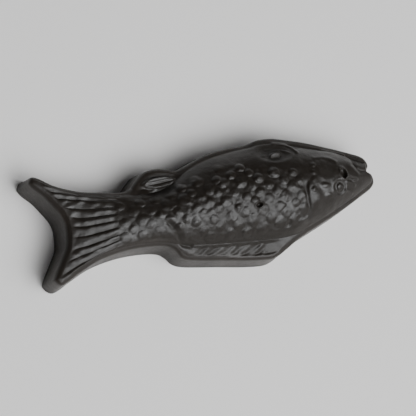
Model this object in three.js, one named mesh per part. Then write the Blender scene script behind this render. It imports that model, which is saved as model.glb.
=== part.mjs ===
// A moulded licorice fish: one solid with a flat back, sloped side walls and a domed face in relief.
// Millimetres. X runs from tail to snout, Y from the back fin to the belly, Z up from the flat back.
import * as THREE from 'three';
import { mergeGeometries, mergeVertices } from 'three/addons/utils/BufferGeometryUtils.js';

// Driving sizes
const WALL_HEIGHT = 5.4; // from the flat back up to the edge of the face
const CROWN_RISE = 3.5; // of the domed flank over that edge, at its highest
const DOME_POWER = 0.85; // below 1 the flank is fuller than a parabola
const DOME_SHOULDER = 0.45; // width over which the dome leaves the edge
const EDGE_RADIUS = 0.45; // of the round between face and wall
const WALL_DRAFT = 0.05; // how far a wall leans outwards for each unit of its height
const FOOT_HEIGHT = 0.7; // of the band above the flat back where the wall flares
const FOOT_FLARE = 0.07;
const BACK_FIN_DROP = 0.8; // of the back fin's outer edge below the other edges
const BACK_FIN_WIDTH = 1.7;
const RELIEF_MARGIN = 0.5; // width of the plain border that the relief fades into

// Mesh fineness
const LENGTH_STEPS = 112;
const WIDTH_STEPS = 40;
const EDGE_STEPS = 2;
const CROWDING = 0.35; // share by which steps are longer at the tail and shorter at the snout
const SPINE_STEP = 2; // between the points along the middle of the flat back
const SPINE_FROM = -9; // first of those points, in steps
const SPINE_TO = 9;
const OUTWARD_REACH = 0.9; // the wall's directions are smoothed over this much of the edge on each side

// Edge of the face, as curves through a few points each, every one [x, y]
const BACK_LINE = [
  [-24.4, -6.9], [-23.9, -7.4], [-23.1, -7.15], [-21.2, -6.2], [-18.2, -4.95], [-14.4, -4.2],
  [-10.6, -4.1], [-7.9, -4.5], [-6.6, -5.4], [-5.8, -6.35], [-4.3, -6.85], [0, -7.5], [3.5, -8.05],
  [6.2, -8.33], [7.5, -8.15], [8.75, -7.5], [10.6, -6.4], [12.6, -5.52], [15.2, -4.5], [17.8, -3.4],
  [20.4, -2.2], [22.45, -1.2],
];
const BELLY_LINE = [
  [-25.2, 6.4], [-24.9, 6.85], [-24.2, 6.55], [-22.2, 5.2], [-19, 3.95], [-16, 3.35], [-13.2, 2.95],
  [-11.5, 3.2], [-10.3, 4.25], [-9.1, 5.15], [-7.5, 5.4], [-5.9, 5.15], [-4.6, 4.75], [-3.3, 5.05],
  [-1.8, 5.6], [0.5, 6.3], [3.3, 6.65], [6, 6.7], [7.8, 7.15], [9.8, 7.12], [11.9, 6.62], [14.5, 5.88],
  [16.7, 5.05], [19.1, 4.13], [21.5, 3.15],
];
const TAIL_LINE = [
  [-24.4, -6.9], [-23.6, -5.7], [-22.6, -4.2], [-21.85, -3.0], [-21.45, -1.4], [-21.35, 0.3],
  [-21.7, 1.7], [-22.5, 3.1], [-23.6, 4.7], [-24.6, 5.75], [-25.2, 6.4],
];
const SNOUT_LINE = [
  [22.45, -1.2], [23.05, -0.6], [23.0, 0.25], [22.4, 0.95], [22.7, 1.75], [22.4, 2.6], [21.5, 3.15],
];

// Values along the length, every one [x, value]
const FLANK_BACK_Y = [
  [-26, -8], [-18.2, -4.95], [-14.4, -4.2], [-10.6, -4.1], [-7.6, -4.6], [-5.4, -5.2], [-4, -5.4],
  [0, -5.8], [4, -6.1], [7.5, -6.25], [10.2, -6.15], [12.6, -5.4], [15.2, -4.45], [17.8, -3.35],
  [20.4, -2.15], [23, -0.7],
];
const FLANK_BELLY_Y = [
  [-26, 6.6], [-22.5, 5.25], [-19, 3.95], [-16, 3.35], [-13, 2.8], [-10, 2.5], [-7.5, 2.75],
  [-5.2, 3.7], [-3, 4.95], [0, 5.95], [3.3, 6.4], [7.5, 6.8], [9.8, 6.7], [12.3, 5.98], [15.3, 5.08],
  [18.2, 4.2], [21, 2.8], [23.5, 1.7],
];
const CROWN_SHARE = [
  [-26, 0], [-20, 0.06], [-15, 0.3], [-10, 0.55], [-4, 0.83], [4, 1], [11, 1], [16, 0.86],
  [20, 0.57], [23.5, 0.2],
];

// Tail rays: grooves as shares of the way from the back to the belly, and where the rays start
const TAIL_GROOVES = [-0.05, 0.045, 0.135, 0.235, 0.375, 0.51, 0.635, 0.76, 0.885, 0.96, 1.03];
const TAIL_RAY_ROOT_X = [[-5, -14.6], [-2, -14.9], [0, -14.8], [1.5, -14.2], [3.5, -13.2]];
const TAIL_RAY_DEPTH = 0.42;
const TAIL_HEM_WIDTH = 1.1;

// Scales, in rows that are staggered by half a scale
const SCALES = {
  length: 2.41, row: 1.1, startX: 0.58, startY: -0.47, skewX: 0.06, skewY: 0.033,
  halfLength: 1.25, halfWidth: 1.05, height: 0.3, sink: 0.62, tilt: 0.12, shift: 0.2,
};
const SCALES_BELLY_Y = [[-14, 2.1], [-7, 2.9], [-2, 3.7], [3, 4.2], [6, 3.1], [8.5, 2.6], [13, 2.3]];
const SCALES_BACK_Y = [[-14, -3.5], [-8, -3.6], [-4, -4.9], [4, -5.3], [8, -5.3], [13, -4.0]];

// Fins
const BACK_FIN = {
  rootX: -4.4, tipX: 8.3, rayTipX: 6, rayPitch: 1.9, raySlant: 1.6, rayHeight: 0.14, ridge: 0.2, dish: 0.3,
};
const BELLY_DISH = { x: 8.9, y: 5.2, length: 3.1, width: 1.6, turn: -0.12, depth: 0.5 };
const VENT_LEAF = { x: -7.6, y: 3.8, length: 2.65, width: 0.85, turn: 0, height: 0.45, lean: 0.2 };

// Gill cover: x of its edge at each y
const GILL_EDGE_X = [[-4.4, 12.7], [-2.6, 12.25], [-0.4, 12.15], [0.6, 12.5]];
const GILL_STEP = 0.3;
const GILL_GROOVE = 0.15;

const EYE = { x: 17.2, y: -1.0, pupil: 0.5, pupilHeight: 0.2, ring: 0.85, ringHeight: 0.15 };
const LIP_Y = [[20.1, 3.2], [20.55, 1.3], [21.0, 0.78], [22.15, 0.55], [23.3, 0.75]];
const JAW_STEP = 0.3;

// Round ridges along lines, or grooves where the height is negative
const RIDGES = {
  bellyFinFront: {
    line: [[8.4, 6.75], [10.2, 6.6], [11.3, 6.3], [12.0, 5.7], [12.4, 4.9]], width: 0.3, height: 0.34,
  },
  sideFin: { line: [[10.6, -4.95], [11.8, -4.75], [12.8, -4.55]], width: 0.3, height: 0.24 },
  brow: { line: [[14.5, 3.6], [15.7, 3.6], [16.9, 3.2], [17.5, 2.7]], width: 0.3, height: 0.12 },
  upperFold: { line: [[18.4, 0.35], [19.2, 0.15], [20.1, -0.2]], width: 0.24, height: 0.22 },
  lowerFold: { line: [[18.5, -0.45], [19.1, -0.65], [19.7, -1.0]], width: 0.24, height: 0.18 },
  mouth: {
    line: [[23.3, 0.75], [22.15, 0.55], [21.0, 0.78], [20.55, 1.3], [20.35, 2.0], [20.1, 2.7]],
    width: 0.32, height: -0.36,
  },
  flankCrease: {
    line: [[-8.0, -2.1], [-7.2, -3.0], [-6.6, -4.2], [-6.0, -5.0], [-4.9, -5.4]], width: 0.36, height: -0.3,
  },
};

// Soft oval knobs, or dimples where the height is negative
const KNOBS = [
  { x: 7.6, y: 4.95, length: 0.75, width: 0.3, turn: 0.15, height: 0.2 },
  { x: 9.15, y: 4.4, length: 1.15, width: 0.42, turn: 0.1, height: 0.38 },
  { x: 10.9, y: 5.15, length: 0.8, width: 0.3, turn: -0.5, height: 0.25 },
  { x: -7.6, y: 2.5, length: 2.2, width: 0.6, turn: 0.1, height: -0.25 },
  { x: 9.0, y: -4.7, length: 0.4, width: 0.55, turn: 0, height: -0.3 },
  { x: 13.6, y: -2.1, length: 1.2, width: 1.5, turn: 0.2, height: 0.24 },
  { x: 13.05, y: -0.9, length: 0.55, width: 0.5, turn: 0, height: 0.2 },
  { x: 13.3, y: 0.5, length: 0.55, width: 0.45, turn: 0.4, height: 0.16 },
  { x: 13.45, y: 1.6, length: 0.55, width: 0.45, turn: 0.3, height: 0.18 },
  { x: 13.85, y: 2.6, length: 0.55, width: 0.45, turn: 0.2, height: 0.18 },
  { x: 14.85, y: -0.55, length: 0.8, width: 0.42, turn: -0.1, height: 0.2 },
  { x: 15.4, y: -1.9, length: 0.9, width: 0.6, turn: -0.2, height: 0.14 },
  { x: 15.7, y: 1.6, length: 1.75, width: 1.5, turn: 0, height: -0.22 },
];

// Hollows that air left in the cast
const HOLLOWS = [
  { x: 18.1, y: 0.8, length: 0.45, width: 0.72, turn: 0.12, depth: 0.62 },
  { x: 4.8, y: -1.8, length: 0.46, width: 0.32, turn: 0.2, depth: 0.42 },
];

const clamp = THREE.MathUtils.clamp;
const smooth = (from, to, value) => THREE.MathUtils.smoothstep(value, from, to);
const bell = (value, width) => Math.exp(-((value / width) ** 2));

// Smooth value at x between knots that are sorted by x
function along(knots, x) {
  const last = knots.length - 1;
  if (x <= knots[0][0]) return knots[0][1];
  if (x >= knots[last][0]) return knots[last][1];
  const i = knots.findLastIndex((knot) => knot[0] <= x);
  const slope = (j) => {
    const [x0, v0] = knots[Math.max(j - 1, 0)];
    const [x1, v1] = knots[Math.min(j + 1, last)];
    return (v1 - v0) / (x1 - x0);
  };
  const gap = knots[i + 1][0] - knots[i][0];
  const t = (x - knots[i][0]) / gap;
  const rise = (3 - 2 * t) * t * t;
  const bend = t * (1 - t) * gap * (slope(i) * (1 - t) - slope(i + 1) * t);
  return knots[i][1] * (1 - rise) + knots[i + 1][1] * rise + bend;
}

// Distance from a point to a line through a few points
function distanceTo(line, x, y) {
  let best = Infinity;
  for (let i = 0; i + 1 < line.length; i += 1) {
    const [ax, ay] = line[i];
    const [dx, dy] = [line[i + 1][0] - ax, line[i + 1][1] - ay];
    const t = clamp(((x - ax) * dx + (y - ay) * dy) / (dx * dx + dy * dy), 0, 1);
    best = Math.min(best, Math.hypot(x - ax - dx * t, y - ay - dy * t));
  }
  return best;
}

// Place in a turned oval: u along it, v across it and r from its middle, all 1 at its rim
function inOval(oval, x, y) {
  const [c, s] = [Math.cos(oval.turn), Math.sin(oval.turn)];
  const u = ((x - oval.x) * c + (y - oval.y) * s) / oval.length;
  const v = ((y - oval.y) * c - (x - oval.x) * s) / oval.width;
  return { u, v, r: Math.hypot(u, v) };
}

// A number from 0 to 1 that belongs to a place in the scale rows
function chance(i, j) {
  const value = Math.sin(i * 12.9898 + j * 78.233) * 43758.5453;
  return value - Math.floor(value);
}

const ridge = ({ line, width, height }, x, y) => height * bell(distanceTo(line, x, y), width);
const knob = (oval, x, y) => oval.height * (1 - smooth(0.1, 1, inOval(oval, x, y).r));

function tailRays(x, y) {
  const tailEnd = along(TAIL_LINE.map(([px, py]) => [py, px]), y);
  const back = along(FLANK_BACK_Y, x);
  const across = clamp((y - back) / (along(FLANK_BELLY_Y, x) - back), 0, 1);
  const phase = along(TAIL_GROOVES.map((groove, k) => [groove, k]), across);
  const ends = smooth(0.35, TAIL_HEM_WIDTH, x - tailEnd)
    * (1 - smooth(-0.7, 0.4, x - along(TAIL_RAY_ROOT_X, y)));
  const fine = 1 - 0.45 * bell(across - 0.09, 0.12);
  return TAIL_RAY_DEPTH * ends * fine * (Math.abs(Math.sin(Math.PI * phase)) ** 0.5 - 0.6);
}

// How far a point belongs to the scaled flank
function scaled(x, y) {
  return smooth(-14.7, -14.1, x) * (1 - smooth(11.6, 12.1, x))
    * smooth(-0.3, 0.4, along(SCALES_BELLY_Y, x) - y) * smooth(-0.2, 0.3, y - along(SCALES_BACK_Y, x));
}

// One scale as a low cap that is a little larger, higher or turned by chance
function scale(i, j, x, y) {
  const column = i + (j % 2 === 0 ? 0 : 0.5);
  const startX = column * SCALES.length + SCALES.startX;
  const startY = j * SCALES.row + SCALES.startY;
  const size = 0.9 + 0.25 * chance(column + 3, j + 5);
  const cap = {
    x: startX + SCALES.skewX * startY + SCALES.shift * (2 * chance(i, j) - 1),
    y: startY + SCALES.skewY * startX + SCALES.shift * (2 * chance(j, i + 7) - 1),
    length: SCALES.halfLength * size,
    width: SCALES.halfWidth * size,
    turn: 0.9 * (chance(i + 2, j + 11) - 0.5),
  };
  const { r } = inOval(cap, x, y);
  const height = (0.8 + 0.4 * chance(i + 9, j)) * scaled(cap.x, cap.y);
  return Math.max(0, 1 - r * r) ** 0.6 * (1 + SCALES.tilt * (cap.x - x)) * height;
}

function scales(x, y) {
  const row = Math.round((y - SCALES.skewY * x - SCALES.startY) / SCALES.row);
  const column = (x - SCALES.skewX * y - SCALES.startX) / SCALES.length;
  let top = 0;
  for (let j = row - 1; j <= row + 1; j += 1) {
    const middle = Math.round(column - (j % 2 === 0 ? 0 : 0.5));
    for (let i = middle - 1; i <= middle + 1; i += 1) top = Math.max(top, scale(i, j, x, y));
  }
  return SCALES.height * (top - SCALES.sink * scaled(x, y));
}

function backFin(x, y) {
  const out = along(FLANK_BACK_Y, x) - y;
  const span = smooth(-1.2, 0.8, x - BACK_FIN.rootX) * (1 - smooth(-2.0, 0.5, x - BACK_FIN.tipX));
  const wave = Math.sin(2 * Math.PI * (x + BACK_FIN.raySlant * out) / BACK_FIN.rayPitch);
  const rays = BACK_FIN.rayHeight * wave * (1 - smooth(-1, 0.5, x - BACK_FIN.rayTipX));
  const dished = smooth(0.1, 0.55, out) * (rays - BACK_FIN.dish);
  return span * (dished + BACK_FIN.ridge * bell(out - 0.05, 0.28) - 0.12 * bell(out + 0.55, 0.35));
}

function bellyDish(x, y) {
  const { u, v, r } = inOval(BELLY_DISH, x, y);
  return -BELLY_DISH.depth * (1 - smooth(0.35, 1.02, r)) * smooth(-1.2, -0.2, u + 0.2 * v);
}

function ventLeaf(x, y) {
  const { v, r } = inOval(VENT_LEAF, x, y);
  return (1 - smooth(0.72, 1.02, r)) * (VENT_LEAF.height + VENT_LEAF.lean * v);
}

function gills(x, y) {
  const fromEdge = x - along(GILL_EDGE_X, y);
  const span = smooth(-5, -3.2, y) * (1 - smooth(-0.6, 0.7, y));
  const cover = smooth(-0.15, 0.25, fromEdge) * (1 - smooth(0.4, 2.2, fromEdge));
  return span * (GILL_STEP * cover - GILL_GROOVE * bell(fromEdge + 0.15, 0.32));
}

function eye(x, y) {
  const r = Math.hypot(x - EYE.x, y - EYE.y);
  const pupil = EYE.pupilHeight * Math.sqrt(Math.max(0, 1 - (r / EYE.pupil) ** 2));
  return pupil + EYE.ringHeight * bell(r - EYE.ring, 0.25) - 0.08 * bell(r - 1.32, 0.25);
}

const jaw = (x, y) => -JAW_STEP * smooth(19.75, 20.15, x) * smooth(0, 0.35, y - along(LIP_Y, x));

function hollow(oval, x, y) {
  const { r } = inOval(oval, x, y);
  return 0.13 * bell(r - 1.25, 0.25) - oval.depth * Math.sqrt(Math.max(0, 1 - r * r));
}

// All that is moulded into the face, over its smooth form
function relief(x, y) {
  const ridges = Object.values(RIDGES).reduce((sum, part) => sum + ridge(part, x, y), 0);
  const knobs = KNOBS.reduce((sum, part) => sum + knob(part, x, y), 0);
  return tailRays(x, y) + scales(x, y) + backFin(x, y) + bellyDish(x, y) + ventLeaf(x, y)
    + gills(x, y) + eye(x, y) + jaw(x, y) + ridges + knobs;
}

// Height of the face at a point that lies a distance from its edge
function faceHeight(x, y, fromEdge) {
  const back = along(FLANK_BACK_Y, x);
  const belly = along(FLANK_BELLY_Y, x);
  const across = (2 * y - back - belly) / (belly - back);
  const shoulder = 1 - (1 - clamp(fromEdge / DOME_SHOULDER, 0, 1)) ** 2;
  const dome = Math.max(0, 1 - across * across) ** DOME_POWER * CROWN_RISE * along(CROWN_SHARE, x);
  const finSpan = smooth(-9, -5.5, x) * (1 - smooth(8, 12, x));
  const finSlope = finSpan * clamp((back - y) / BACK_FIN_WIDTH, 0, 1);
  const smoothFace = WALL_HEIGHT + dome * shoulder - BACK_FIN_DROP * finSlope;
  const moulded = relief(x, y) * smooth(0, RELIEF_MARGIN, fromEdge);
  return HOLLOWS.reduce((height, oval) => height + hollow(oval, x, y), smoothFace + moulded);
}

// Share of the way from tail to snout at step i
const lengthShare = (i) => (i / LENGTH_STEPS) * (1 + CROWDING - CROWDING * (i / LENGTH_STEPS));
const widthShare = (j) => j / WIDTH_STEPS;

function pointsOn(line, steps, share) {
  const curve = new THREE.SplineCurve(line.map(([x, y]) => new THREE.Vector2(x, y)));
  return Array.from({ length: steps + 1 }, (_, step) => curve.getPointAt(share(step)));
}

const sides = {
  back: pointsOn(BACK_LINE, LENGTH_STEPS, lengthShare),
  belly: pointsOn(BELLY_LINE, LENGTH_STEPS, lengthShare),
  tail: pointsOn(TAIL_LINE, WIDTH_STEPS, widthShare),
  snout: pointsOn(SNOUT_LINE, WIDTH_STEPS, widthShare),
};

// Point i, j of the net that the four curves carry; i runs from tail to snout, j from back to belly
function netPoint(i, j) {
  const [s, t] = [lengthShare(i), widthShare(j)];
  const { back, belly, tail, snout } = sides;
  const mix = (axis) => (1 - t) * back[i][axis] + t * belly[i][axis]
    + (1 - s) * tail[j][axis] + s * snout[j][axis]
    - (1 - s) * ((1 - t) * tail[0][axis] + t * tail[WIDTH_STEPS][axis])
    - s * ((1 - t) * snout[0][axis] + t * snout[WIDTH_STEPS][axis]);
  return new THREE.Vector2(mix('x'), mix('y'));
}

function edgeDistance(i, j) {
  const [s, t] = [lengthShare(i), widthShare(j)];
  const width = sides.back[i].distanceTo(sides.belly[i]);
  const length = sides.tail[j].distanceTo(sides.snout[j]);
  return Math.min(t * width, (1 - t) * width, s * length, (1 - s) * length);
}

function facePoint(i, j) {
  const { x, y } = netPoint(i, j);
  return new THREE.Vector3(x, y, faceHeight(x, y, edgeDistance(i, j)));
}

// The edge of the face as one closed ring of points, counter-clockwise from above
function edgeRing() {
  const ring = [];
  for (let i = 0; i < LENGTH_STEPS; i += 1) ring.push(facePoint(i, 0));
  for (let j = 0; j < WIDTH_STEPS; j += 1) ring.push(facePoint(LENGTH_STEPS, j));
  for (let i = LENGTH_STEPS; i > 0; i -= 1) ring.push(facePoint(i, WIDTH_STEPS));
  for (let j = WIDTH_STEPS; j > 0; j -= 1) ring.push(facePoint(0, j));
  return ring;
}

// The way out at point k of a ring, smoothed over the points within reach
function outwardAt(ring, k) {
  const reached = (step) => {
    const far = (n) => ring[n].distanceTo(ring[k]);
    let [n, last] = [k, k];
    while (far(n) < OUTWARD_REACH) [last, n] = [n, (n + step + ring.length) % ring.length];
    return ring[last].clone().lerp(ring[n], (OUTWARD_REACH - far(last)) / (far(n) - far(last)));
  };
  const [before, after] = [reached(-1), reached(1)];
  return new THREE.Vector3(after.y - before.y, before.x - after.x, 0).normalize();
}

// The same ring after the round edge, at the top of the foot and on the flat back
function wallRings(edge) {
  const outward = edge.map((_, k) => outwardAt(edge, k));
  const moved = (out, height) => edge.map((point, k) => {
    const place = point.clone().addScaledVector(outward[k], out(point.z));
    return place.setZ(height(point.z));
  });
  const rings = [edge];
  for (let step = 1; step <= EDGE_STEPS; step += 1) {
    const angle = (Math.PI / 2) * (step / EDGE_STEPS);
    rings.push(moved(() => EDGE_RADIUS * Math.sin(angle), (z) => z - EDGE_RADIUS * (1 - Math.cos(angle))));
  }
  const wallOut = (z) => EDGE_RADIUS + WALL_DRAFT * (z - EDGE_RADIUS);
  rings.push(moved((z) => wallOut(z - FOOT_HEIGHT), () => FOOT_HEIGHT));
  rings.push(moved((z) => wallOut(z) + FOOT_FLARE, () => 0));
  return rings;
}

// A plane of cells whose corners are moved to the points that a function gives
function netGeometry(columns, rows, pointAt) {
  const geometry = new THREE.PlaneGeometry(1, 1, columns, rows);
  const position = geometry.getAttribute('position');
  for (let n = 0; n < position.count; n += 1) {
    const i = Math.round((position.getX(n) + 0.5) * columns);
    const j = Math.round((position.getY(n) + 0.5) * rows);
    const point = pointAt(i, j);
    position.setXYZ(n, point.x, point.y, point.z);
  }
  return geometry;
}

// The flat back, as triangles between its ring and a row of points along the middle
function flatBack(ring) {
  const innerPoint = ({ x }) => {
    const step = clamp(Math.round(x / SPINE_STEP), SPINE_FROM, SPINE_TO);
    return new THREE.Vector3(step * SPINE_STEP, 0, 0);
  };
  const corners = [];
  ring.forEach((point, k) => {
    const next = ring[(k + 1) % ring.length];
    const [inner, nextInner] = [innerPoint(point), innerPoint(next)];
    corners.push(next, point, inner);
    if (!inner.equals(nextInner)) corners.push(next, inner, nextInner);
  });
  return mergeVertices(new THREE.BufferGeometry().setFromPoints(corners));
}

function fishGeometry() {
  const rings = wallRings(edgeRing());
  const around = rings[0].length;
  const face = netGeometry(LENGTH_STEPS, WIDTH_STEPS, facePoint);
  const wall = netGeometry(around, rings.length - 1, (i, j) => rings[rings.length - 1 - j][i % around]);
  const shells = [face, wall, flatBack(rings[rings.length - 1])];
  for (const shell of shells) {
    shell.deleteAttribute('normal');
    shell.deleteAttribute('uv');
  }
  const fish = mergeVertices(mergeGeometries(shells), 1e-4);
  fish.computeBoundingBox();
  const middle = fish.boundingBox.getCenter(new THREE.Vector3());
  fish.translate(-middle.x, -middle.y, 0);
  fish.computeVertexNormals();
  return fish;
}

const licorice = new THREE.MeshStandardMaterial({ color: 0x1a1816, roughness: 0.36, metalness: 0 });
const fish = new THREE.Mesh(fishGeometry(), licorice);
fish.name = 'licorice_fish';

const group = new THREE.Group();
group.add(fish);

export default group;
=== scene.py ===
"""The licorice fish as it looks: a finely moulded cast, its near-black finish and a plain studio.

The classes hold sizes in millimetres, with X from tail to snout, Y from the back fin to the belly and Z up
from the flat back. Meshes, lights and the camera are in metres.
"""

from __future__ import annotations

import logging
import math
from dataclasses import dataclass, field
from enum import Enum
from typing import Any, Sequence, Union

import bmesh
import bpy
import numpy as np
from mathutils import Matrix, Vector

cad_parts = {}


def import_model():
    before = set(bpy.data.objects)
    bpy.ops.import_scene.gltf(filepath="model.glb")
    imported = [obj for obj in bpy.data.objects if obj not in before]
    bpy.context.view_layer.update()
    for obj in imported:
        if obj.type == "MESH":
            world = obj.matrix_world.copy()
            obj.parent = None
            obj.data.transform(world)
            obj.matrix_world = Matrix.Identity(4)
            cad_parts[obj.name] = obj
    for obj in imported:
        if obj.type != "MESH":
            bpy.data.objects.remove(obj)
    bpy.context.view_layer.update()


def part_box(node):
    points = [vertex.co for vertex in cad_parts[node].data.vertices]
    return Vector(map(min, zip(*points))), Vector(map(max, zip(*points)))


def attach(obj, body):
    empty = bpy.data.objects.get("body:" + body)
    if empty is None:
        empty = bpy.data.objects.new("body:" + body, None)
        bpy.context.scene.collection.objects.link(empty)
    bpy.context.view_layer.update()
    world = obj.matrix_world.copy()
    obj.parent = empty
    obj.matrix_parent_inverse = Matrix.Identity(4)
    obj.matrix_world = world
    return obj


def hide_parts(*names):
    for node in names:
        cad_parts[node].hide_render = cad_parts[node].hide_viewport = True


LOG = logging.getLogger("licorice_fish")
MM = 0.001
STIR_ALONG = 12.9898
STIR_ACROSS = 78.233
STIR_SCALE = 43758.5453
NODE = "licorice_fish"

Array = np.ndarray
Knots = Sequence[tuple[float, float]]
Span = tuple[float, float]
Colour = tuple[float, float, float, float]


def smooth(low: float, high: float, value: Array) -> Array:
    """Rise from 0 at low to 1 at high, level at both ends.

    Args:
        low: Value where the rise starts.
        high: Value where it ends.
        value: Values to place on the rise.

    Returns:
        Heights on the rise, from 0 to 1.
    """
    t = np.clip((value - low) / (high - low), 0.0, 1.0)
    return t * t * (3.0 - 2.0 * t)


def bell(value: Array, width: float) -> Array:
    """Height of a round ridge of height 1 at 0 that has mostly gone a width away."""
    return np.exp(-((value / width) ** 2))


def between(span: Span, share: Array) -> Array:
    """The value at a share of the way from a span's start to its end."""
    return span[0] + (span[1] - span[0]) * share


def along(knots: Knots, x: Array) -> Array:
    """Smooth values at x between knots.

    Args:
        knots: Pairs of x and value, sorted by x.
        x: Places to read.

    Returns:
        Values at x, held level outside the first and last knot.
    """
    xs, values = np.asarray(knots, dtype=float).T
    before = np.maximum(np.arange(len(xs)) - 1, 0)
    after = np.minimum(np.arange(len(xs)) + 1, len(xs) - 1)
    slopes = (values[after] - values[before]) / (xs[after] - xs[before])
    place = np.clip(x, xs[0], xs[-1])
    i = np.clip(np.searchsorted(xs, place, side="right") - 1, 0, len(xs) - 2)
    gap = xs[i + 1] - xs[i]
    t = (place - xs[i]) / gap
    rise = t * t * (3.0 - 2.0 * t)
    bend = t * (1.0 - t) * gap * (slopes[i] * (1.0 - t) - slopes[i + 1] * t)
    return values[i] * (1.0 - rise) + values[i + 1] * rise + bend


def distance_to(line: Knots, x: Array, y: Array) -> Array:
    """Distance from points to a line through a few points.

    Args:
        line: Corners of the line.
        x: Points' places along the fish.
        y: Points' places across it.

    Returns:
        Distances in millimetres.
    """
    best = np.full(np.shape(x), np.inf)
    for (ax, ay), (bx, by) in zip(line[:-1], line[1:]):
        dx, dy = bx - ax, by - ay
        t = np.clip(((x - ax) * dx + (y - ay) * dy) / (dx * dx + dy * dy), 0.0, 1.0)
        best = np.minimum(best, np.hypot(x - ax - dx * t, y - ay - dy * t))
    return best


def chance(i: Array, j: Array) -> Array:
    """A number from 0 to 1 that belongs to a place in a lattice."""
    value = np.sin(i * STIR_ALONG + j * STIR_ACROSS) * STIR_SCALE
    return value - np.floor(value)


@dataclass(frozen=True)
class Mottle:
    """Soft uneven heights, drawn by chance on a lattice.

    Its pitch holds the distances between two draws, along the fish and across it, and each seed picks
    another pattern.
    """

    amount: float
    pitch: Span
    seed: float

    def height(self, x: Array, y: Array) -> Array:
        """Heights of the pattern.

        Args:
            x: Places along the fish.
            y: Places across it.

        Returns:
            Heights from minus the amount to the amount.
        """
        u, v = x / self.pitch[0] + self.seed, y / self.pitch[1] - self.seed
        i, j = np.floor(u), np.floor(v)
        s, t = smooth(0.0, 1.0, u - i), smooth(0.0, 1.0, v - j)
        near = chance(i, j) * (1.0 - s) + chance(i + 1, j) * s
        far = chance(i, j + 1) * (1.0 - s) + chance(i + 1, j + 1) * s
        return self.amount * (2.0 * (near * (1.0 - t) + far * t) - 1.0)


@dataclass(frozen=True)
class Oval:
    """A turned oval on the face, in millimetres, or an oval for each point of an array."""

    x: Union[float, Array]
    y: Union[float, Array]
    length: Union[float, Array]
    width: Union[float, Array]
    turn: Union[float, Array] = 0.0

    def place(self, x: Array, y: Array) -> tuple[Array, Array, Array]:
        """Places in the oval.

        Args:
            x: Places along the fish.
            y: Places across it.

        Returns:
            Place along the oval, place across it and distance from its middle, all 1 at its rim.
        """
        c, s = np.cos(self.turn), np.sin(self.turn)
        u = ((x - self.x) * c + (y - self.y) * s) / self.length
        v = ((y - self.y) * c - (x - self.x) * s) / self.width
        return u, v, np.hypot(u, v)


@dataclass(frozen=True)
class Bump:
    """A soft oval knob, or a dimple where its height is negative."""

    oval: Oval
    rise: float
    top: float = 0.1

    def height(self, x: Array, y: Array) -> Array:
        """Height of the knob."""
        return self.rise * (1.0 - smooth(self.top, 1.0, self.oval.place(x, y)[2]))


@dataclass(frozen=True)
class Blade:
    """An oval blade that lies higher on its belly side, so that it faces the back."""

    oval: Oval
    rise: float
    lean: float
    rim: Span = (0.72, 1.02)

    def height(self, x: Array, y: Array) -> Array:
        """Height of the blade."""
        _, v, r = self.oval.place(x, y)
        return (1.0 - smooth(*self.rim, r)) * (self.rise + self.lean * v)


@dataclass(frozen=True)
class Vein:
    """A groove along a leaf, with its place, slant and width in shares of the leaf's own half sizes."""

    place: float
    slant: float
    width: float
    cut: float

    def depth(self, u: Array, v: Array) -> Array:
        """Depth of the groove at places in the leaf."""
        return self.cut * bell(v - self.place - self.slant * u, self.width)


@dataclass(frozen=True)
class Pit:
    """A burst bubble: a round hollow with a low rim."""

    oval: Oval
    depth: float
    rim_rise: float = 0.13
    rim_place: float = 1.25
    rim_width: float = 0.25

    def height(self, x: Array, y: Array) -> Array:
        """Height of the rim less the depth of the hollow.

        Args:
            x: Places along the fish.
            y: Places across it.

        Returns:
            Heights over the face.
        """
        r = self.oval.place(x, y)[2]
        hollow = self.depth * np.sqrt(np.maximum(0.0, 1.0 - r * r))
        return self.rim_rise * bell(r - self.rim_place, self.rim_width) - hollow


@dataclass(frozen=True)
class Ridge:
    """A round ridge along a line, or a groove where its height is negative."""

    line: Knots
    width: float
    rise: float

    def height(self, x: Array, y: Array) -> Array:
        """Height of the ridge."""
        return self.rise * bell(distance_to(self.line, x, y), self.width)


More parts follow.
